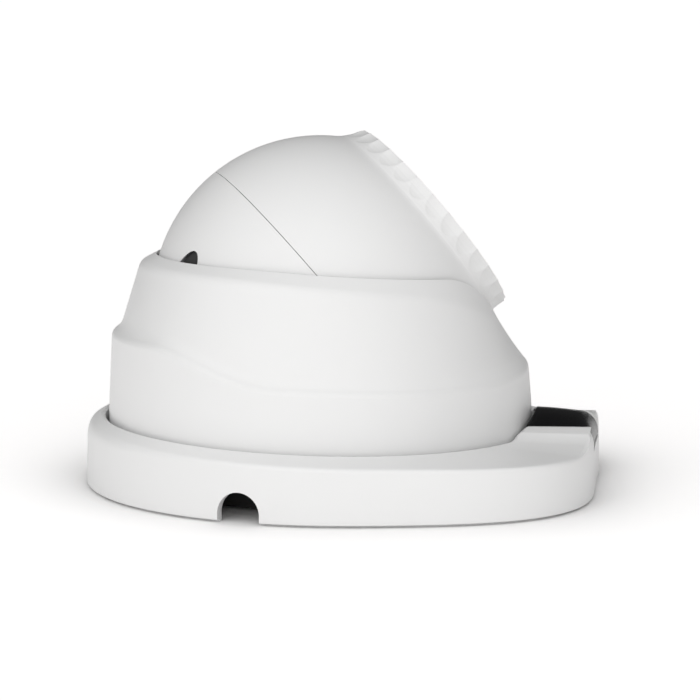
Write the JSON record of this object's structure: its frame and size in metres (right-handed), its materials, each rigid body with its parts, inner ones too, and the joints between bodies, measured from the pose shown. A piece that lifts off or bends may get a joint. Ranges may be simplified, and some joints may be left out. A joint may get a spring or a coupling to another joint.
{
  "type": "dome cctv camera",
  "caption": "Turret-style security camera: a ball head with a fluted bezel in a panning socket, on a round mount base with a cable notch.",
  "frame": {"origin": "centre of the base footprint, on the mounting face", "axes": "+X along the base, towards its nose (the nose itself points 8 degrees to the -Y side), +Z out of the mounting face towards the ball, +Y to the left when facing +X"},
  "size_m": [0.1235, 0.1154, 0.0833],
  "materials": {
    "base_housing": "satin white moulded plastic",
    "nose_window": "glossy black",
    "status_board": "green solder mask",
    "status_led": "clear epoxy",
    "turntable": "natural acetal",
    "pan_retainer": "die cast",
    "retainer_screw": "plated",
    "seat_ring": "nylon",
    "trim_cover": "satin white moulded plastic",
    "friction_ring": "soft black rubber",
    "trim_screw": "plated",
    "lock_screw": "dark steel",
    "rear_shell": "satin white",
    "roll_bearing_ring": "black acetal",
    "rear_screw": "plated",
    "rear_plug": "matte dark rubber",
    "cable_gland": "black nylon",
    "gland_seal": "black rubber",
    "gland_nut": "black nylon",
    "front_shell": "satin white",
    "seam_oring": "black rubber",
    "front_glass": "clear",
    "glass_gasket": "black rubber",
    "chassis": "cast",
    "led_board": "black solder mask",
    "led": "clear epoxy",
    "light_sensor": "tinted epoxy",
    "lens_baffle": "black foam",
    "lens_barrel": "black anodised",
    "lens_element": "coated glass",
    "lens_holder": "black",
    "sensor_board": "green solder mask",
    "image_sensor": "covered silicon",
    "filter_housing": "black",
    "filter_coil": "copper wire",
    "main_board": "green solder mask",
    "processor": "black epoxy",
    "heat_sink": "extruded",
    "ribbon_cable": "polyimide",
    "filter_carrier": "thin plate",
    "ir_cut_pane": "coated",
    "clear_pane": "clear"
  },
  "bodies": {
    "base": {"base_housing": "base_housing", "nose_window": "nose_window", "status_board": "status_board", "status_led": "status_led"},
    "turret": {"turntable": "turntable", "pan_retainer": "pan_retainer", "retainer_screw_1": "retainer_screw", "retainer_screw_2": "retainer_screw", "retainer_screw_3": "retainer_screw", "seat_ring": "seat_ring", "trim_cover": "trim_cover", "friction_ring": "friction_ring", "trim_screw_1": "trim_screw", "trim_screw_2": "trim_screw", "trim_screw_3": "trim_screw", "lock_screw": "lock_screw"},
    "rear_head": {"rear_shell": "rear_shell", "roll_bearing_ring": "roll_bearing_ring", "rear_screw_1": "rear_screw", "rear_screw_2": "rear_screw", "rear_screw_3": "rear_screw", "rear_screw_4": "rear_screw", "rear_plug_1": "rear_plug", "rear_plug_2": "rear_plug", "rear_plug_3": "rear_plug", "rear_plug_4": "rear_plug", "cable_gland": "cable_gland", "gland_seal": "gland_seal", "gland_nut": "gland_nut"},
    "front_head": {"front_shell": "front_shell", "seam_oring": "seam_oring", "front_glass": "front_glass", "glass_gasket": "glass_gasket", "chassis": "chassis", "led_board": "led_board", "led_1": "led", "led_2": "led", "led_3": "led", "led_4": "led", "led_5": "led", "led_6": "led", "led_7": "led", "led_8": "led", "light_sensor": "light_sensor", "lens_baffle": "lens_baffle", "lens_barrel": "lens_barrel", "lens_element": "lens_element", "lens_holder": "lens_holder", "sensor_board": "sensor_board", "image_sensor": "image_sensor", "filter_housing": "filter_housing", "filter_coil": "filter_coil", "main_board": "main_board", "processor": "processor", "heat_sink": "heat_sink", "ribbon_cable": "ribbon_cable"},
    "filter": {"filter_carrier": "filter_carrier", "ir_cut_pane": "ir_cut_pane", "clear_pane": "clear_pane"}
  },
  "joints": [
    {"name": "pan", "type": "hinge", "parent": "base", "child": "turret", "pos_m": [-0.00595, 0.00065, 0.012], "axis": [0, 0, 1], "range_deg": [-177.5, 177.5]},
    {"name": "tilt", "type": "hinge", "parent": "turret", "child": "rear_head", "pos_m": [-0.00595, 0.00065, 0.042], "axis": [0.1994, -0.9799, 0], "range_deg": [0, 50]},
    {"name": "roll", "type": "hinge", "parent": "rear_head", "child": "front_head", "pos_m": [-0.00595, 0.00065, 0.042], "axis": [0.7615, 0.1549, 0.6293], "range_deg": [-175, 175]},
    {"name": "filter_slide", "type": "slide", "parent": "front_head", "child": "filter", "axis": [0.1994, -0.9799, 0], "range_m": [0, 0.008]}
  ]
}
